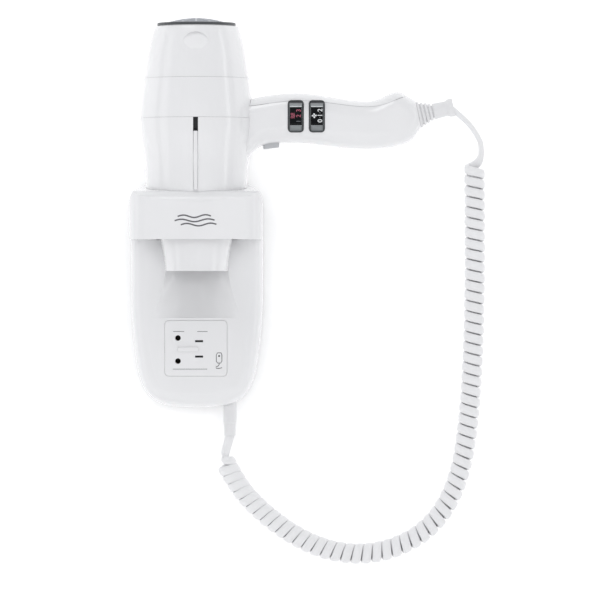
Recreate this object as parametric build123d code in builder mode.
"""Wall-mounted hair dryer: a dryer hanging nozzle down in the ring of its wall holder, on a curly cord.

The origin is the centre of the holder's back face, which lies on the wall. +X is to the right seen from
the room, +Y points into the wall and +Z is up. Sizes are in millimetres.
"""

import os
from math import cos, pi, radians, sin, tan

from build123d import *

os.makedirs("parts", exist_ok=True)

# Driving dimensions
AXIS_Y = -62.0  # the barrel, the handle and the wires in it lie on this plane
WALL = 2.4  # moulded wall
SEAM = 0.15  # half of a visible joint line between two mouldings
FIT = 0.3  # gap between pieces that move past each other

# Barrel: (radius, height) of its outline from the nozzle's end to the rear cap's shoulder
BARREL_OUTLINE = [
    (25.4, 18),
    (29.2, 43),
    (35.4, 66),
    (40.8, 86),
    (42.8, 109),
    (46.5, 134),
    (46.3, 152),
    (42.6, 178),
    (39.2, 201),
    (35.2, 216.5),
]
NOZZLE_END = 18.0
LOWER_SEAM = 143.3
UPPER_SEAM = 176.1
CAP_TOP = 219.0
RIM_RADIUS, RIM_INNER = 32.2, 30.6
DOME_TOP = 225.5

# Handle: (x, bottom, top, depth, corner radius, tilt) of its sections, from inside the barrel outwards
HANDLE_SECTIONS = [
    (36, 103, 157, 34, 13, 0),
    (44, 113.2, 158.7, 34, 13.5, 0),
    (53, 120.2, 160.9, 34, 14, 0),
    (71, 122.9, 163.4, 34, 14.5, 0),
    (85, 122.8, 163.8, 34, 14.5, 0),
    (101, 121.4, 162.1, 34, 14.5, 0),
    (118, 119.2, 159.2, 34, 14.5, 0),
    (135, 117.9, 157.2, 34, 14.5, 0),
    (146, 118, 157.9, 34, 14.5, 0),
    (156, 119, 162.2, 34, 14.5, 0),
    (165.5, 121, 165, 33, 14.5, 1),
    (173.5, 124.4, 162, 31, 14, 5),
    (178.8, 130.6, 159.4, 27, 12.5, 9),
    (181.9, 135.3, 156.9, 22, 9.8, 12.6),
]
# The handle's upper parting line as (x, height)
SPINE_LINE = [
    (40, 152.6),
    (58, 155),
    (76, 157.2),
    (107, 155.9),
    (133, 152.8),
    (152, 154),
    (166, 159.3),
    (190, 161),
]
HANDLE_FACE = AXIS_Y - 17.0
CORD_TILT = 12.6  # degrees that the strain relief at the handle's end points upwards

# Rocker switches
ROCKER_X = {"speed": 98.7, "heat": 81.45}
ROCKER_Z = 144.6
ROCKER_PIVOT_Y = HANDLE_FACE + 3.5
ROCKER_TILT = 12.0  # degrees each side of the middle position
ROCKER_RADIUS = 11.7
ROCKER_WIDTH, ROCKER_END, ROCKER_MIDDLE = 10.4, 10.6, 3.5
ROCKER_HEEL, ROCKER_DEEP = 11.4, 2.6
PIVOT_RADIUS, PIVOT_REACH = 1.2, 5.9  # the rocker's pins and their half length
BEZEL_WIDTH, BEZEL_HEIGHT, BEZEL_CORNER = 13.0, 26.4, 3.2
BEZEL_FACE, BEZEL_BACK = HANDLE_FACE - 0.6, HANDLE_FACE + 7.0

# Cold-shot button
BUTTON_X = 61.3
BUTTON_BOTTOM = 118.6
BUTTON_SLOPE = 7.0  # degrees that the button's face follows the handle's underside
BUTTON_TRAVEL = 2.5
BUTTON_LENGTH, BUTTON_DEPTH = 13.2, 10.4

# Dock rod, a half-round bar lying on the front of the barrel
ROD_BOTTOM, ROD_TOP, SLOT_TOP = 84.4, 132.0, LOWER_SEAM - 0.2

# Wall holder
HOLDER_HALF_WIDTH = 54.4
HOLDER_BOTTOM, HOLDER_TOP = -94.2, 90.0
TOP_CORNER = 17.0
# Right half of the outline's lower part, from the straight side to the middle of the bottom
HOLDER_TAPER = [
    (HOLDER_HALF_WIDTH, 2),
    (52.6, -34),
    (49.6, -57),
    (44.6, -75.8),
    (34.6, -88.3),
    (18, -93.3),
    (0, HOLDER_BOTTOM),
]
BODY_FRONT = -44.0
BODY_EDGE = 12.0
BELT_BOTTOM = 43.8
BELT_FRONT = -109.0
BELT_CORNER, BELT_BOW = 15.0, 1.5
PLATE_X, PLATE_Z = -0.8, -45.5
PLATE_WIDTH, PLATE_HEIGHT = 51.4, 45.9
RELIEF_X, RELIEF_Y = 27.0, -20.0

# Cord
CORD_DIAMETER = 6.0  # a round stand-in for a flat cable 8 mm wide and 4.5 mm thick
COIL_DIAMETER = 17.5
LEAD_UPPER = [
    (209.0, -62.0, 151.6),
    (220.5, -62.0, 142.4),
    (230.0, -61.6, 130.5),
    (235.0, -61.0, 118.5),
    (235.0, -60.4, 107.0),
]
COIL_ROUTE = [
    (228.1, -60.4, 106),
    (228.4, -59.0, 52),
    (228.2, -55.5, -20),
    (225.2, -50.5, -90),
    (217.4, -46.5, -151),
    (196.5, -43.0, -190.5),
    (163.0, -39.5, -211.5),
    (125.0, -36.0, -216.5),
    (88.0, -32.5, -205.5),
    (54.5, -29.0, -182.0),
    (32.5, -26.0, -158.5),
    (22.6, -24.0, -138.4),
]
LEAD_LOWER = [(27.0, -20.0, -117.0), (26.4, -20.6, -126.0), (23.6, -22.6, -138.4)]

SIDE = Plane(origin=(0, AXIS_Y, 0), x_dir=(1, 0, 0), z_dir=(0, -1, 0))
BARREL_AXIS = Axis((0, AXIS_Y, 0), (0, 0, 1))
UPRIGHT = Plane(origin=(0, 0, 0), x_dir=(1, 0, 0), z_dir=(0, -1, 0))


def save(builder, name):
    """Labels a finished piece and writes it."""
    builder.part.label = name
    export_step(builder.part, f"parts/{name}.step")


def barrel_solid(grow):
    """The barrel's outline turned about its axis, grown outwards by so much."""
    with BuildPart() as turned:
        with BuildSketch(SIDE):
            with BuildLine():
                outline = Spline([(radius + grow, height) for radius, height in BARREL_OUTLINE])
                Polyline(outline @ 0, (0, BARREL_OUTLINE[0][1]), (0, BARREL_OUTLINE[-1][1]), outline @ 1)
            make_face()
        revolve(axis=BARREL_AXIS)
    return turned.part


def barrel_slab(low, high, radius=60.0):
    """A disc about the barrel's axis between two heights, to cut the barrel with."""
    with BuildPart() as slab:
        with BuildSketch(Plane((0, AXIS_Y, low))):
            Circle(radius)
        extrude(amount=high - low)
    return slab.part


def handle_solid(grow):
    """The handle's sections lofted into one solid, grown outwards by so much."""
    with BuildPart() as lofted:
        for x, bottom, top, depth, corner, tilt in HANDLE_SECTIONS:
            outwards = (cos(radians(tilt)), 0, sin(radians(tilt)))
            section = Plane(origin=(x, AXIS_Y, (bottom + top) / 2), x_dir=(0, 1, 0), z_dir=outwards)
            with BuildSketch(section):
                RectangleRounded(depth + 2 * grow, top - bottom + 2 * grow, corner + grow)
        loft()
    return lofted.part


def above_spine_line(drop):
    """Everything above the handle's parting line, which is lowered by so much."""
    with BuildPart() as region:
        with BuildSketch(SIDE):
            with BuildLine():
                line = Spline([(x, z - drop) for x, z in SPINE_LINE])
                Polyline(line @ 0, (SPINE_LINE[0][0], 180), (SPINE_LINE[-1][0], 180), line @ 1)
            make_face()
        extrude(amount=30, both=True)
    return region.part


def turned_ring(profile, plane=SIDE, axis=BARREL_AXIS):
    """A closed profile of (radius, height) points turned about an axis."""
    with BuildPart() as ring:
        with BuildSketch(plane):
            with BuildLine():
                Polyline(*profile, close=True)
            make_face()
        revolve(axis=axis)
    return ring.part


def upright_cylinder(x, y, low, high, radius):
    """A cylinder standing on the height low."""
    with BuildPart() as post:
        with BuildSketch(Plane((x, y, low))):
            Circle(radius)
        extrude(amount=high - low)
    return post.part


def block(low, high):
    """A box between two corners."""
    size = [b - a for a, b in zip(low, high)]
    centre = tuple((a + b) / 2 for a, b in zip(low, high))
    with BuildPart() as made:
        with Locations(centre):
            Box(*size)
    return made.part


def thumb_hollow(grow):
    """The space of the rear cap's finger hollow: an arch whose floor leans out to nothing at its foot."""
    half_width, foot, top = 11.0 + grow, 199.0 - grow, 213.0 + grow
    floor_top = (0, AXIS_Y - 33.6 + grow, 213)
    with BuildPart() as hollow:
        with BuildSketch(SIDE):
            with BuildLine():
                ThreePointArc((-half_width, foot), (0, top), (half_width, foot))
                Line((half_width, foot), (-half_width, foot))
            make_face()
        extrude(amount=60)
        split(bisect_by=Plane(origin=floor_top, z_dir=(0, -15, 6.2)), keep=Keep.TOP)
    return hollow.part


def ring_face(inner, outer):
    """A flat ring, as a sketch about its own centre."""
    with BuildSketch() as ring:
        Circle(outer)
        Circle(inner, mode=Mode.SUBTRACT)
    return ring.sketch


BARREL = barrel_solid(0)
BARREL_INSIDE = barrel_solid(-WALL)
HANDLE = handle_solid(0)

# --- Dock rod: its line lies against the barrel's front, from its foot in the ring to the slot
ROD_LEAN = 0.1125  # forward drift per unit of height, as the barrel widens upwards
ROD_BACK = 40.75  # distance of the rod's flat back from the barrel's axis at its foot
ROD_WIDTH = 3.2
ROD_PLANE = Plane(
    origin=(0, AXIS_Y - ROD_BACK, ROD_BOTTOM), x_dir=(1, 0, 0), z_dir=(0, -ROD_LEAN, 1)
)
ROD_LENGTH = (ROD_TOP - ROD_BOTTOM) * (1 + ROD_LEAN**2) ** 0.5
ROD_TRAVEL = 8.0


def rod_channel(width, deep, proud, low, high):
    """A straight bar along the rod's line; deep goes towards the barrel's axis and proud away from it."""
    with BuildPart() as bar:
        with BuildSketch(ROD_PLANE.offset(low)):
            with Locations((0, (deep - proud) / 2)):
                Rectangle(width, deep + proud)
        extrude(amount=high - low)
    return bar.part


with BuildPart() as dock_rod:
    with BuildSketch(ROD_PLANE):
        with Locations((0, -0.3)):
            Circle(ROD_WIDTH / 2)
        with Locations((0, 2.3)):
            Rectangle(4, 4, mode=Mode.SUBTRACT)
    extrude(amount=ROD_LENGTH)
    fillet(dock_rod.faces().sort_by(Axis.Z)[-1].edges(), 0.4)
save(dock_rod, "dock_rod")

# --- Barrel
with BuildPart() as front_barrel:
    add(BARREL)
    add(BARREL_INSIDE, mode=Mode.SUBTRACT)
    add(barrel_slab(NOZZLE_END - 1, LOWER_SEAM - SEAM), mode=Mode.INTERSECT)
    add(handle_solid(SEAM), mode=Mode.SUBTRACT)
    add(rod_channel(ROD_WIDTH + 0.8, 0.9, 6, -ROD_TRAVEL - 2, ROD_LENGTH), mode=Mode.SUBTRACT)
    add(rod_channel(ROD_WIDTH + 0.8, 8, 6, ROD_LENGTH - 0.5, ROD_LENGTH + 11.6), mode=Mode.SUBTRACT)
save(front_barrel, "front_barrel")

# The strain relief's plane runs along the cord's way out, from the middle of the handle's end face
RELIEF_DIRECTION = (cos(radians(CORD_TILT)), 0, sin(radians(CORD_TILT)))
RELIEF_ORIGIN = (HANDLE_SECTIONS[-1][0], AXIS_Y, (HANDLE_SECTIONS[-1][1] + HANDLE_SECTIONS[-1][2]) / 2)
RELIEF_PLANE = Plane(origin=RELIEF_ORIGIN, x_dir=RELIEF_DIRECTION, z_dir=(0, -1, 0))
RELIEF_AXIS = Axis(RELIEF_ORIGIN, RELIEF_DIRECTION)
RELIEF_NECK = 7.0


def relief_disc(low, high, radius):
    """A disc about the strain relief's axis, between two distances from the handle's end face."""
    return turned_ring([(low, 0), (high, 0), (high, radius), (low, radius)], RELIEF_PLANE, RELIEF_AXIS)


handle_inside = handle_solid(-WALL) - relief_disc(-WALL, 8, 30)
handle_shell = HANDLE - handle_inside
relief_hole = relief_disc(-8, 6, RELIEF_NECK + 0.2)
SCREW_X = (116.0, 160.0)
POST_RADIUS, POST_BORE, POST_BOTTOM = 3.4, 1.3, 125.9
SCREW_SEAT = 123.9  # height of the screw heads' seats in the underside of the handle

with BuildPart() as rocker_windows:
    with BuildSketch(UPRIGHT.offset(-BEZEL_BACK)):
        with Locations(*[(x, ROCKER_Z) for x in ROCKER_X.values()]):
            RectangleRounded(BEZEL_WIDTH + 2 * SEAM, BEZEL_HEIGHT + 2 * SEAM, BEZEL_CORNER + SEAM)
    extrude(amount=10)

with BuildPart() as main_housing:
    add(handle_shell)
    add(above_spine_line(2 * SEAM), mode=Mode.SUBTRACT)
    add((BARREL & barrel_slab(LOWER_SEAM + SEAM, UPPER_SEAM - SEAM)))
    add(BARREL_INSIDE, mode=Mode.SUBTRACT)
    add(rocker_windows.part, mode=Mode.SUBTRACT)
    with Locations((BUTTON_X, AXIS_Y, BUTTON_BOTTOM + 4)):
        Box(BUTTON_LENGTH + 2 * FIT, BUTTON_DEPTH + 2 * FIT, 14, mode=Mode.SUBTRACT)
    add(relief_hole, mode=Mode.SUBTRACT)
    for x in SCREW_X:
        add(upright_cylinder(x, AXIS_Y, 115, POST_BOTTOM - 0.2, 4.6) & HANDLE)
        add(upright_cylinder(x, AXIS_Y, 115, SCREW_SEAT, 2.8), mode=Mode.SUBTRACT)
        add(upright_cylinder(x, AXIS_Y, 115, POST_BOTTOM, 1.7), mode=Mode.SUBTRACT)
save(main_housing, "main_housing")

with BuildPart() as handle_spine:
    add(handle_shell)
    add(above_spine_line(0), mode=Mode.INTERSECT)
    add(barrel_solid(SEAM), mode=Mode.SUBTRACT)
    add(rocker_windows.part, mode=Mode.SUBTRACT)
    add(relief_hole, mode=Mode.SUBTRACT)
    for x in SCREW_X:
        add(upright_cylinder(x, AXIS_Y, POST_BOTTOM, 170, POST_RADIUS) & HANDLE)
        add(upright_cylinder(x, AXIS_Y, POST_BOTTOM - 1, 145, POST_BORE), mode=Mode.SUBTRACT)
save(handle_spine, "handle_spine")

with BuildPart() as handle_screws:
    for x in SCREW_X:
        add(upright_cylinder(x, AXIS_Y, SCREW_SEAT - 1.6, SCREW_SEAT - 0.1, 2.6))
        add(upright_cylinder(x, AXIS_Y, SCREW_SEAT - 0.2, SCREW_SEAT + 16, POST_BORE - 0.05))
save(handle_screws, "handle_screws")

# --- Rear cap with its rim, grille and filter, which pull off backwards together
CAP_MOUTH = 30.4  # radius of the hole in the cap's end
with BuildPart() as rear_cap:
    add(BARREL)
    add(BARREL_INSIDE, mode=Mode.SUBTRACT)
    add(barrel_slab(UPPER_SEAM + SEAM, CAP_TOP), mode=Mode.INTERSECT)
    shoulder = [(35.0, 214.8), (35.2, 216.5), (34.6, 218.2), (32.4, CAP_TOP)]
    add(turned_ring([(CAP_MOUTH, 214.8), *shoulder, (CAP_MOUTH, CAP_TOP)]))
    add(thumb_hollow(1.8) & BARREL)
    add(thumb_hollow(0), mode=Mode.SUBTRACT)
save(rear_cap, "rear_cap")

with BuildPart() as rim_ring:
    foot, crest = CAP_TOP + SEAM, 221.4
    outer_edge = [(RIM_RADIUS, foot), (RIM_RADIUS, crest - 0.5), (RIM_RADIUS - 0.5, crest)]
    add(turned_ring([(RIM_INNER, foot), *outer_edge, (RIM_INNER, crest)]))
save(rim_ring, "rim_ring")

GRILLE_RADIUS, GRILLE_EDGE = 30.3, 219.6
BAR, BAR_PITCH, SPOKES, HUB_RADIUS = 1.7, 3.8, 12, 5.5
with BuildPart() as intake_grille:
    with BuildSketch(SIDE):
        with BuildLine():
            rise = DOME_TOP - GRILLE_EDGE
            quarter = DOME_TOP - rise / 4
            ThreePointArc((0, DOME_TOP), (GRILLE_RADIUS / 2, quarter), (GRILLE_RADIUS, GRILLE_EDGE))
            Line((GRILLE_RADIUS, GRILLE_EDGE), (GRILLE_RADIUS, GRILLE_EDGE - 1.8))
            ThreePointArc(
                (GRILLE_RADIUS, GRILLE_EDGE - 1.8), (GRILLE_RADIUS / 2, quarter - 1.8), (0, DOME_TOP - 1.8)
            )
            Line((0, DOME_TOP - 1.8), (0, DOME_TOP))
        make_face()
    revolve(axis=BARREL_AXIS)
    with BuildSketch(Plane((0, AXIS_Y, GRILLE_EDGE - 4))):
        Circle(HUB_RADIUS)
        for step in range(1, 8):
            radius = min(HUB_RADIUS + step * BAR_PITCH, GRILLE_RADIUS)
            add(ring_face(radius - BAR, radius))
        with PolarLocations(0, SPOKES):
            with Locations((GRILLE_RADIUS / 2, 0)):
                Rectangle(GRILLE_RADIUS, BAR)
        Circle(GRILLE_RADIUS, mode=Mode.INTERSECT)
    extrude(amount=12, mode=Mode.INTERSECT)
save(intake_grille, "intake_grille")

FILTER_RADIUS = 31.1
with BuildPart() as intake_filter:
    with BuildSketch(Plane((0, AXIS_Y, 213.3))):
        with GridLocations(4.5, 0, 15, 1):
            Rectangle(0.9, 66)
        with GridLocations(0, 4.5, 1, 15):
            Rectangle(66, 0.9)
        add(ring_face(28, FILTER_RADIUS))
        Circle(FILTER_RADIUS, mode=Mode.INTERSECT)
    extrude(amount=1.2)
save(intake_filter, "intake_filter")

# --- Air path inside the barrel
with BuildPart() as nozzle_grille:
    with BuildSketch(Plane((0, AXIS_Y, 20))):
        Circle(3)
        for radius in (9, 15):
            add(ring_face(radius - 1.2, radius))
        add(ring_face(21.4, 23.1))
        with PolarLocations(0, 6):
            with Locations((11.2, 0)):
                Rectangle(22.4, 1.3)
    extrude(amount=3.5)
save(nozzle_grille, "nozzle_grille")

SLEEVE_RADIUS, SLEEVE_LOW, SLEEVE_HIGH = 24.1, 32.0, 112.0
with BuildPart() as mica_sleeve:
    with BuildSketch(Plane((0, AXIS_Y, SLEEVE_LOW))):
        Circle(SLEEVE_RADIUS)
        Circle(SLEEVE_RADIUS - 0.6, mode=Mode.SUBTRACT)
    extrude(amount=SLEEVE_HIGH - SLEEVE_LOW)
save(mica_sleeve, "mica_sleeve")

BOARD_LOW, BOARD_HIGH, BOARD_HALF = 36.0, 105.0, 20.0
with BuildPart() as heater_frame:
    add(block((-BOARD_HALF, AXIS_Y - 0.5, BOARD_LOW), (BOARD_HALF, AXIS_Y + 0.5, BOARD_HIGH)))
    add(block((-0.5, AXIS_Y - BOARD_HALF, BOARD_LOW), (0.5, AXIS_Y + BOARD_HALF, BOARD_HIGH)))
save(heater_frame, "heater_frame")

WIRE_RADIUS, COIL_TURNS, COIL_PITCH = 0.5, 13, 4.6
with BuildPart() as heater_coils:
    for turn in range(COIL_TURNS):
        with Locations((0, AXIS_Y, BOARD_LOW + 6 + turn * COIL_PITCH)):
            Torus(BOARD_HALF + WIRE_RADIUS + 0.2, WIRE_RADIUS)
save(heater_coils, "heater_coils")

with BuildPart() as thermostat:
    add(block((-7, AXIS_Y - 4, BOARD_HIGH + 0.1), (7, AXIS_Y + 4, BOARD_HIGH + 3.4)))
    add(upright_cylinder(0, AXIS_Y, BOARD_HIGH + 3.2, BOARD_HIGH + 5.2, 3))
save(thermostat, "thermostat")

with BuildPart() as thermal_fuse:
    add(upright_cylinder(8, AXIS_Y + 8, 88, 100, 1.7))
    add(upright_cylinder(8, AXIS_Y + 8, 82, 106, 0.5))
save(thermal_fuse, "thermal_fuse")

DUCT_RADIUS, DUCT_LOW, DUCT_TOP, DUCT_WALL = 39.5, 130.0, 172.0, 1.5
MOTOR_RADIUS, MOTOR_LOW, MOTOR_HIGH = 14.2, 124.0, 150.0
SHAFT_RADIUS = 1.0
COLLAR_RADIUS = SLEEVE_RADIUS + 0.2
with BuildPart() as fan_duct:
    add(
        turned_ring(
            [
                (COLLAR_RADIUS, 108),
                (COLLAR_RADIUS + DUCT_WALL, 108),
                (COLLAR_RADIUS + DUCT_WALL, 113.5),
                (DUCT_RADIUS, DUCT_LOW),
                (DUCT_RADIUS, DUCT_TOP),
                (DUCT_RADIUS - DUCT_WALL, DUCT_TOP),
                (DUCT_RADIUS - DUCT_WALL, DUCT_LOW + 0.4),
                (COLLAR_RADIUS, 114),
            ]
        )
    )
    with BuildSketch(Plane((0, AXIS_Y, 128))):
        add(ring_face(MOTOR_RADIUS + 0.1, MOTOR_RADIUS + 1.6))
        with PolarLocations(MOTOR_RADIUS + 1.0, 7):
            with Locations((12, 0)):
                Rectangle(24.0, 1.2)
        Circle(DUCT_RADIUS - 0.5, mode=Mode.INTERSECT)
    extrude(amount=20)
save(fan_duct, "fan_duct")

with BuildPart() as motor:
    add(upright_cylinder(0, AXIS_Y, MOTOR_LOW, MOTOR_HIGH, MOTOR_RADIUS))
    fillet(motor.edges().filter_by(GeomType.CIRCLE), 1.2)
    add(upright_cylinder(0, AXIS_Y, MOTOR_HIGH - 0.5, MOTOR_HIGH + 2.0, 4.5))
    add(upright_cylinder(0, AXIS_Y, MOTOR_LOW - 2.5, MOTOR_LOW + 0.5, 5.5))
    with Locations((8.5, AXIS_Y, MOTOR_LOW - 1.5), (-8.5, AXIS_Y, MOTOR_LOW - 1.5)):
        Box(0.6, 3, 5)
    add(upright_cylinder(0, AXIS_Y, MOTOR_HIGH - 8, MOTOR_HIGH + 3, SHAFT_RADIUS + 0.05), mode=Mode.SUBTRACT)
save(motor, "motor")

with BuildPart() as motor_shaft:
    add(upright_cylinder(0, AXIS_Y, MOTOR_HIGH - 7, 167, SHAFT_RADIUS))
save(motor_shaft, "motor_shaft")

FAN_LOW, FAN_HIGH, HUB = 154.5, 168.5, 9.0
BLADES, BLADE_PITCH = 9, 38.0
with BuildPart() as fan:
    for blade in range(BLADES):
        turn = radians(360 * blade / BLADES)
        outward = (cos(turn), sin(turn), 0)
        root = Plane(
            origin=(7.5 * cos(turn), AXIS_Y + 7.5 * sin(turn), (FAN_LOW + FAN_HIGH) / 2),
            x_dir=(-sin(turn), cos(turn), 0),
            z_dir=outward,
        )
        with BuildSketch(root):
            Rectangle(15, 1.3, rotation=BLADE_PITCH)
        extrude(amount=31)
    add(upright_cylinder(0, AXIS_Y, FAN_LOW, FAN_HIGH, 37.4), mode=Mode.INTERSECT)
    add(upright_cylinder(0, AXIS_Y, FAN_LOW, FAN_HIGH, HUB))
    fillet(fan.faces().sort_by(Axis.Z)[-1].edges(), 1.5)
    add(upright_cylinder(0, AXIS_Y, FAN_LOW - 1, 167, SHAFT_RADIUS), mode=Mode.SUBTRACT)
save(fan, "fan")

# --- Switches in the handle: each bezel holds a rocker that tips on its switch body
raised_end = (0, -sin(radians(ROCKER_TILT)), cos(radians(ROCKER_TILT)))
for name, rocker_x in ROCKER_X.items():
    pivot = Plane(origin=(rocker_x, ROCKER_PIVOT_Y, ROCKER_Z), x_dir=raised_end, z_dir=(1, 0, 0))
    with BuildPart() as bezel:
        with BuildSketch(UPRIGHT.offset(-BEZEL_BACK)):
            with Locations((rocker_x, ROCKER_Z)):
                RectangleRounded(BEZEL_WIDTH, BEZEL_HEIGHT, BEZEL_CORNER)
                RectangleRounded(ROCKER_WIDTH + 2 * FIT, 2 * (ROCKER_RADIUS + 0.2), 0.2, mode=Mode.SUBTRACT)
        extrude(amount=BEZEL_BACK - BEZEL_FACE)
        chamfer(bezel.faces().sort_by(Axis.Y)[0].outer_wire().edges(), 0.3)
        with BuildSketch(pivot):
            Circle(PIVOT_RADIUS + 0.05)
        extrude(amount=PIVOT_REACH + 0.1, both=True, mode=Mode.SUBTRACT)
    save(bezel, f"{name}_bezel")

    with BuildPart() as rocker:
        with BuildSketch(pivot):
            with BuildLine():
                end_height = (ROCKER_RADIUS**2 - ROCKER_END**2) ** 0.5
                Polyline((-ROCKER_END, end_height), (0, ROCKER_MIDDLE), (ROCKER_END, end_height))
                ThreePointArc((ROCKER_END, end_height), (ROCKER_RADIUS, 0), (ROCKER_HEEL, -ROCKER_DEEP))
                Line((ROCKER_HEEL, -ROCKER_DEEP), (-ROCKER_HEEL, -ROCKER_DEEP))
                ThreePointArc((-ROCKER_HEEL, -ROCKER_DEEP), (-ROCKER_RADIUS, 0), (-ROCKER_END, end_height))
            make_face()
        extrude(amount=ROCKER_WIDTH / 2, both=True)
        with BuildSketch(pivot):
            Circle(PIVOT_RADIUS)
        extrude(amount=PIVOT_REACH, both=True)
    save(rocker, f"{name}_rocker")

    with BuildPart() as switch:
        add(block((rocker_x - 4.8, -70.1, ROCKER_Z - 10.5), (rocker_x + 4.8, -60.4, ROCKER_Z + 10.5)))
        with Locations(*[(rocker_x, -59.0, ROCKER_Z + step) for step in (-7, 0, 7)]):
            Box(3, 3, 0.8)
    save(switch, f"{name}_switch")

with BuildPart() as circuit_board:
    add(block((74, -57.0, 128.5), (106, -55.4, 156.0)))
    for x, z in [(80, 134), (90, 134), (100, 134)]:
        with Locations((x, -53.4, z)):
            Cylinder(2.0, 7.0, rotation=(0, 90, 0))
    with Locations((90, -53.2, 147)):
        Box(16, 4.4, 9)
save(circuit_board, "circuit_board")

BUTTON_FLANGE = 126.3
with BuildPart() as cold_button:
    along, upwards = (cos(radians(BUTTON_SLOPE)), 0, sin(radians(BUTTON_SLOPE))), (0, 0, 1)
    face_centre = (BUTTON_X, AXIS_Y, BUTTON_BOTTOM)
    with BuildSketch(Plane(face_centre, x_dir=along, z_dir=(-along[2], 0, along[0]))):
        RectangleRounded(BUTTON_LENGTH, BUTTON_DEPTH, 1.6)
    extrude(amount=10, dir=upwards)
    fillet(cold_button.faces().sort_by(Axis.Z)[0].edges(), 0.8)
    split(bisect_by=Plane((0, 0, BUTTON_FLANGE)), keep=Keep.BOTTOM)
    add(
        block(
            (BUTTON_X - BUTTON_LENGTH / 2 - 1.2, AXIS_Y - BUTTON_DEPTH / 2 - 1, BUTTON_FLANGE),
            (BUTTON_X + BUTTON_LENGTH / 2 + 1.2, AXIS_Y + BUTTON_DEPTH / 2 + 1, BUTTON_FLANGE + 1.1),
        )
    )
save(cold_button, "cold_button")

with BuildPart() as cold_switch:
    low = BUTTON_FLANGE + 1.1 + BUTTON_TRAVEL + FIT
    add(block((BUTTON_X - 6, AXIS_Y - 4, low), (BUTTON_X + 6, AXIS_Y + 4, low + 7)))
save(cold_switch, "cold_switch")

with BuildPart() as dock_switch:
    add(block((-4.5, -105.3, 134.5), (4.5, -102.0, 142.5)))
save(dock_switch, "dock_switch")

# --- Cord entries
RIBS = 4
with BuildPart() as upper_strain_relief:
    with BuildSketch(RELIEF_PLANE):
        with BuildLine():
            points = [(-5.2, 0), (-5.2, 8.6), (-2.7, 8.6), (-2.7, RELIEF_NECK), (0.2, RELIEF_NECK)]
            for rib in range(RIBS):
                along, radius = 0.2 + 3.1 * rib, 10.75 - 1.15 * rib
                points += [(along, radius), (along + 1.9, radius - 0.35), (along + 2.2, radius - 2.2)]
                points += [(along + 3.1, radius - 2.4)]
            points += [(12.8, 6.6), (23.5, 6.2), (26.0, 7.5), (29.6, 7.5), (29.6, 0)]
            Polyline(*points, close=True)
        make_face()
    revolve(axis=RELIEF_AXIS)
save(upper_strain_relief, "upper_strain_relief")

with BuildPart() as handle_cord_clamp:
    add(block((165.6, AXIS_Y - 9, 138), (170.4, AXIS_Y + 9, 143)))
    with Locations((168, AXIS_Y, 143)):
        Cylinder(3.2, 12, rotation=(0, 90, 0), mode=Mode.SUBTRACT)
    with Locations((168, AXIS_Y - 6.5, 140), (168, AXIS_Y + 6.5, 140)):
        Cylinder(1.3, 12, mode=Mode.SUBTRACT)
save(handle_cord_clamp, "handle_cord_clamp")

# --- Wall holder
def holder_outline(inset):
    """The holder's front outline, drawn in by so much."""
    half, corner, bottom = HOLDER_HALF_WIDTH - inset, TOP_CORNER - inset, HOLDER_BOTTOM + inset
    taper = [(x * half / HOLDER_HALF_WIDTH, z * bottom / HOLDER_BOTTOM) for x, z in HOLDER_TAPER]
    with BuildSketch(UPRIGHT) as outline:
        with BuildLine():
            Line((0, HOLDER_TOP - inset), (half - corner, HOLDER_TOP - inset))
            TangentArc((half - corner, HOLDER_TOP - inset), (half, HOLDER_TOP - TOP_CORNER), tangent=(1, 0))
            Line((half, HOLDER_TOP - TOP_CORNER), taper[0])
            Spline(*taper, tangents=((0, -1), (-1, 0)))
            mirror(about=Plane.YZ)
        make_face()
    return outline.sketch


def holder_body(inset):
    """The holder's body as a solid with a rolled-off front edge, drawn in by so much."""
    with BuildPart() as body:
        add(holder_outline(inset))
        extrude(amount=-BODY_FRONT - inset, dir=(0, -1, 0))
        fillet(body.faces().sort_by(Axis.Y)[0].edges(), BODY_EDGE - inset)
    return body.part


def holder_belt(inset):
    """The belt that carries the ring: its plan, cut to its front outline and to its side profile."""
    half, front, corner = HOLDER_HALF_WIDTH - inset, BELT_FRONT + inset, BELT_CORNER - inset
    with BuildPart() as belt:
        with BuildSketch(Plane.XY.offset(BELT_BOTTOM + inset)):
            with BuildLine():
                bowed = front + BELT_BOW
                Polyline((-half, front + corner), (-half, 0), (half, 0), (half, front + corner))
                RadiusArc((half, front + corner), (half - corner, bowed), corner)
                ThreePointArc((half - corner, bowed), (0, front), (corner - half, bowed))
                RadiusArc((corner - half, bowed), (-half, front + corner), corner)
            make_face()
        extrude(amount=60)
        add(holder_outline(inset))
        extrude(amount=120, dir=(0, -1, 0), mode=Mode.INTERSECT)
    with BuildPart() as profile:
        with BuildSketch(Plane.YZ):
            with BuildLine():
                top, lip = HOLDER_TOP + 0.8 - inset, 82.6 - inset
                FilletPolyline(
                    *[(0, BELT_BOTTOM - 5), (0, top), (front, lip), (front, BELT_BOTTOM - 5)],
                    radius=[0, 0, 10.5 - inset, 0],
                    close=True,
                )
            make_face()
        extrude(amount=60, both=True)
    return belt.part & profile.part


# The scoop under the nozzle: (height, half width, depth) of its sections, from the ring downwards
SCOOP_SECTIONS = [
    (44.6, 25.9, 13.6),
    (18.0, 25.9, 13.2),
    (5.0, 28.0, 10.6),
    (-8.0, 31.8, 6.6),
    (-20.4, 36.4, 0.7),
]
SEAT_LOW = 66.0
SEAT_GAP = 0.4


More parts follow.
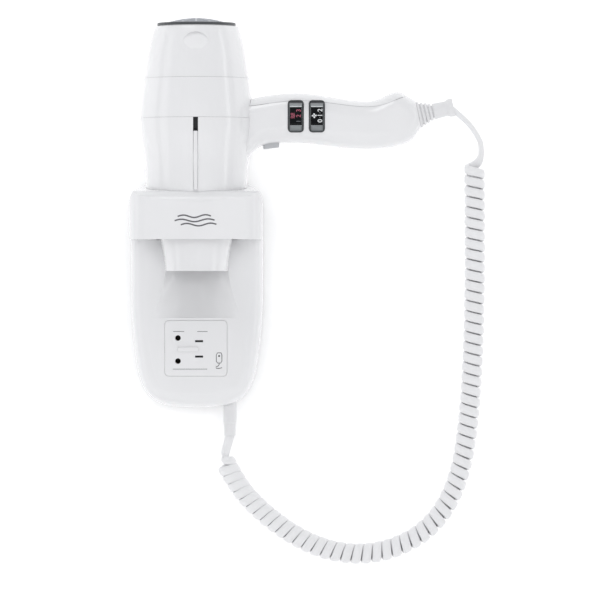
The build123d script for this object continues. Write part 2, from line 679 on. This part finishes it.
def scoop_solid(grow, face):
    """The scoop's space out to a plane in front of the body, its wall grown outwards by so much."""
    with BuildPart() as scoop:
        for height, half, depth in SCOOP_SECTIONS:
            half, depth = half + grow, depth + grow
            with BuildSketch(Plane.XY.offset(height)):
                with BuildLine():
                    ThreePointArc((half, BODY_FRONT), (0, BODY_FRONT + depth), (-half, BODY_FRONT))
                    Polyline((-half, BODY_FRONT), (-half, face), (half, face), (half, BODY_FRONT))
                make_face()
        loft()
    return scoop.part


BODY = holder_body(0)
BELT = holder_belt(0)
SKIRT_RADIUS = 37.8  # the ring's mouth below its conical seat
ring_inside = barrel_solid(SEAT_GAP) & barrel_slab(SEAT_LOW, 100)
ring_wall = barrel_solid(SEAT_GAP + WALL) & barrel_slab(SEAT_LOW, 100) & BELT
skirt_top, skirt_foot = SEAT_LOW + 0.1, BELT_BOTTOM
skirt_wall = turned_ring(
    [(0, skirt_foot), (SKIRT_RADIUS + WALL, skirt_foot), (SKIRT_RADIUS + 0.8, skirt_top), (0, skirt_top)]
)
skirt_inside = turned_ring(
    [(0, skirt_foot - 0.1), (SKIRT_RADIUS, skirt_foot - 0.1), (SKIRT_RADIUS - 2, skirt_top), (0, skirt_top)]
)
skirt_floor = barrel_slab(BELT_BOTTOM - WALL, BELT_BOTTOM + 0.1, SKIRT_RADIUS + WALL) & BODY
INLET_X, INLET_Z, INLET_RADIUS = -30.0, -56.0, 7.0
COVER_SCREW_Y = -12.0

with BuildPart() as holder_cover:
    add(BODY)
    add(BELT)
    add(holder_body(WALL), mode=Mode.SUBTRACT)
    add(holder_belt(WALL), mode=Mode.SUBTRACT)
    add(ring_wall)
    add(skirt_wall & (BODY + BELT))
    add(skirt_floor)
    add(scoop_solid(WALL, BODY_FRONT - 1) & BODY)
    add(ring_inside, mode=Mode.SUBTRACT)
    add(skirt_inside, mode=Mode.SUBTRACT)
    add(scoop_solid(0, BODY_FRONT - 3), mode=Mode.SUBTRACT)
    with BuildSketch(UPRIGHT.offset(-BODY_FRONT - 5)):
        with Locations((PLATE_X, PLATE_Z)):
            RectangleRounded(PLATE_WIDTH + 2 * SEAM, PLATE_HEIGHT + 2 * SEAM, 3.5)
    extrude(amount=10, mode=Mode.SUBTRACT)
    add(upright_cylinder(RELIEF_X, RELIEF_Y, -100, -80, 5.8), mode=Mode.SUBTRACT)
    add(upright_cylinder(0, COVER_SCREW_Y, -95, -87.2, 5.0) & BODY)
    add(upright_cylinder(0, COVER_SCREW_Y, -100, -89.4, 3.2), mode=Mode.SUBTRACT)
    add(upright_cylinder(0, COVER_SCREW_Y, -100, -80, 1.8), mode=Mode.SUBTRACT)
save(holder_cover, "holder_cover")

WALL_SCREW_X, WALL_SCREW_Z, WALL_SCREW_RADIUS = 33.0, 68.0, 2.5
PLATE_THICKNESS = 3.0
with BuildPart() as back_plate:
    add(holder_outline(WALL + FIT))
    extrude(amount=PLATE_THICKNESS, dir=(0, -1, 0))
    add(block((-7, -19, -86.9), (7, -PLATE_THICKNESS + 0.1, -83.4)))
    add(upright_cylinder(0, COVER_SCREW_Y, -90, -80, 1.25), mode=Mode.SUBTRACT)
    with BuildSketch(UPRIGHT):
        with GridLocations(2 * WALL_SCREW_X, 2 * WALL_SCREW_Z, 2, 2):
            Circle(WALL_SCREW_RADIUS)
        with Locations((INLET_X, INLET_Z)):
            Circle(INLET_RADIUS)
    extrude(amount=PLATE_THICKNESS, mode=Mode.SUBTRACT)
save(back_plate, "back_plate")

with BuildPart() as cover_screw:
    add(upright_cylinder(0, COVER_SCREW_Y, -91.0, -89.5, 3.0))
    add(upright_cylinder(0, COVER_SCREW_Y, -89.6, -83.6, 1.2))
save(cover_screw, "cover_screw")

# --- Shaver socket: (x, height) of the round holes and of the flat slots in the plate
ROUND_HOLES = [(-15.6, -37.0), (-15.6, -56.0)]
FLAT_SLOTS = [(1.8, -39.6), (1.8, -52.3)]
SELECTOR_X, SELECTOR_Z, SELECTOR_TRAVEL = -7.2, -46.4, 5.0
SHUTTER_FRONT = -41.9
with BuildPart() as socket_plate:
    with BuildSketch(UPRIGHT.offset(42.2)):
        with Locations((PLATE_X, PLATE_Z)):
            RectangleRounded(PLATE_WIDTH, PLATE_HEIGHT, 3.4)
        with Locations(*ROUND_HOLES):
            Circle(2.3, mode=Mode.SUBTRACT)
        with Locations(*FLAT_SLOTS):
            Rectangle(6.6, 1.7, mode=Mode.SUBTRACT)
        with Locations((SELECTOR_X + SELECTOR_TRAVEL / 2, SELECTOR_Z)):
            Rectangle(SELECTOR_TRAVEL + 5, 2.0, mode=Mode.SUBTRACT)
    extrude(amount=2.2)
    chamfer(socket_plate.faces().sort_by(Axis.Y)[0].outer_wire().edges(), 0.35)
save(socket_plate, "socket_plate")

with BuildPart() as selector_slider:
    with BuildSketch(UPRIGHT.offset(44.6)):
        with Locations((SELECTOR_X, SELECTOR_Z)):
            RectangleRounded(17.0, 3.8, 1.2)
    extrude(amount=1.5)
    fillet(selector_slider.faces().sort_by(Axis.Y)[0].edges(), 0.5)
    stem_low = (SELECTOR_X - 2.2, -44.8, SELECTOR_Z - 0.8)
    add(block(stem_low, (SELECTOR_X + 2.2, SHUTTER_FRONT, SELECTOR_Z + 0.8)))
save(selector_slider, "selector_slider")

with BuildPart() as socket_shutter:
    with BuildSketch(UPRIGHT.offset(-SHUTTER_FRONT - 0.8)):
        with Locations((-6.0, PLATE_Z - 0.9)):
            Rectangle(30, 32)
        with Locations(*ROUND_HOLES):
            Circle(2.7, mode=Mode.SUBTRACT)
        with Locations(*[(x - SELECTOR_TRAVEL, z) for x, z in FLAT_SLOTS]):
            Rectangle(3.4, 2.4, mode=Mode.SUBTRACT)
    extrude(amount=0.8)
save(socket_shutter, "socket_shutter")

with BuildPart() as socket_body:
    add(block((-23, -40.8, -66), (21, -24, -25.5)))
    with BuildSketch(UPRIGHT.offset(40.8)):
        with Locations(*ROUND_HOLES):
            Circle(3.2)
        with Locations(*FLAT_SLOTS):
            Rectangle(8.0, 4.2)
    extrude(amount=-14, mode=Mode.SUBTRACT)
save(socket_body, "socket_body")

with BuildPart() as round_contacts:
    with BuildSketch(UPRIGHT.offset(27.0)):
        with Locations(*ROUND_HOLES):
            Circle(3.1)
            Circle(2.35, mode=Mode.SUBTRACT)
    extrude(amount=11)
save(round_contacts, "round_contacts")

with BuildPart() as flat_contacts:
    with BuildSketch(UPRIGHT.offset(27.0)):
        for x, z in FLAT_SLOTS:
            with Locations((x, z - 1.45), (x, z + 1.45)):
                Rectangle(7.4, 0.8)
    extrude(amount=11)
save(flat_contacts, "flat_contacts")

# --- Transformer behind the scoop, terminals and cord clamp at the bottom
CORE_FRONT, CORE_BACK = -21.5, -8.0
with BuildPart() as transformer_core:
    add(block((-20, CORE_FRONT, -6), (20, CORE_BACK, 28)))
    for x in (-10, 10):
        add(block((x - 4, CORE_FRONT - 1, 1), (x + 4, CORE_BACK + 1, 21)), mode=Mode.SUBTRACT)
save(transformer_core, "transformer_core")

with BuildPart() as transformer_coil:
    add(block((-13.6, -25.5, 1.5), (13.6, -4, 20.5)))
    add(block((-6.2, CORE_FRONT - 0.2, 0), (6.2, CORE_BACK + 0.2, 22)), mode=Mode.SUBTRACT)
    fillet(transformer_coil.edges().filter_by(Axis.Z).group_by(Axis.Y)[0], 2)
save(transformer_coil, "transformer_coil")

with BuildPart() as terminal_block:
    add(block((-20, -16, -80), (6, -4, -70)))
    with Locations(*[(x, -12, -75) for x in (-15.5, -7, 1.5)]):
        Cylinder(2.2, 10, rotation=(90, 0, 0), mode=Mode.SUBTRACT)
save(terminal_block, "terminal_block")

CLAMP_LOW, CLAMP_HIGH = -79.0, -73.0
with BuildPart() as holder_cord_clamp:
    add(block((RELIEF_X - 9, -26, CLAMP_LOW), (RELIEF_X + 9, -19.5, CLAMP_HIGH)))
    add(upright_cylinder(RELIEF_X, RELIEF_Y + 1.5, CLAMP_LOW - 1, CLAMP_HIGH + 1, 3.4), mode=Mode.SUBTRACT)
    with Locations(*[(RELIEF_X + side * 6.4, -23, -76) for side in (-1, 1)]):
        Cylinder(1.5, 10, rotation=(90, 0, 0), mode=Mode.SUBTRACT)
save(holder_cord_clamp, "holder_cord_clamp")

with BuildPart() as clamp_screws:
    for side in (-1, 1):
        with BuildSketch(UPRIGHT.offset(4.0)):
            with Locations((RELIEF_X + side * 6.4, -76)):
                Circle(1.4)
        extrude(amount=23)
        with BuildSketch(UPRIGHT.offset(26.2)):
            with Locations((RELIEF_X + side * 6.4, -76)):
                Circle(2.6)
        extrude(amount=1.6)
save(clamp_screws, "clamp_screws")

with BuildPart() as lower_strain_relief:
    add(
        turned_ring(
            [
                *[(0, -81.5), (7.4, -81.5), (7.4, -83.4), (5.5, -83.4), (5.5, -106.5)],
                *[(4.9, -107.6), (4.7, -117.6), (4.3, -118.0), (0, -118.0)],
            ],
            Plane(origin=(RELIEF_X, RELIEF_Y, 0), x_dir=(1, 0, 0), z_dir=(0, -1, 0)),
            Axis((RELIEF_X, RELIEF_Y, 0), (0, 0, 1)),
        )
    )
save(lower_strain_relief, "lower_strain_relief")


# --- Cord: straight runs joined by arcs
def cord_tube(route, diameter):
    """A tube along a route, with the largest arc that the two runs at each corner allow."""
    points = [Vector(*point) for point in route]
    runs = [after - before for before, after in zip(points, points[1:])]
    radii = []
    for before, after in zip(runs, runs[1:]):
        half_turn = radians(before.get_angle(after)) / 2
        radii.append(0.45 * min(before.length, after.length) / tan(half_turn))
    with BuildPart() as tube:
        with BuildLine():
            path = FilletPolyline(*route, radius=radii)
        with BuildSketch(Plane(origin=path @ 0, z_dir=path % 0)):
            Circle(diameter / 2)
        sweep()
    print("radii", [round(radius) for radius in radii], "length", round(path.length, 1))
    section = pi * diameter**2 / 4
    print("volume", round(tube.part.volume), "section times length", round(section * path.length))
    return tube


cord_lead_upper = cord_tube(LEAD_UPPER, CORD_DIAMETER)
save(cord_lead_upper, "cord_lead_upper")
curly_cord = cord_tube(COIL_ROUTE, COIL_DIAMETER)
save(curly_cord, "curly_cord")
cord_lead_lower = cord_tube(LEAD_LOWER, CORD_DIAMETER)
save(cord_lead_lower, "cord_lead_lower")
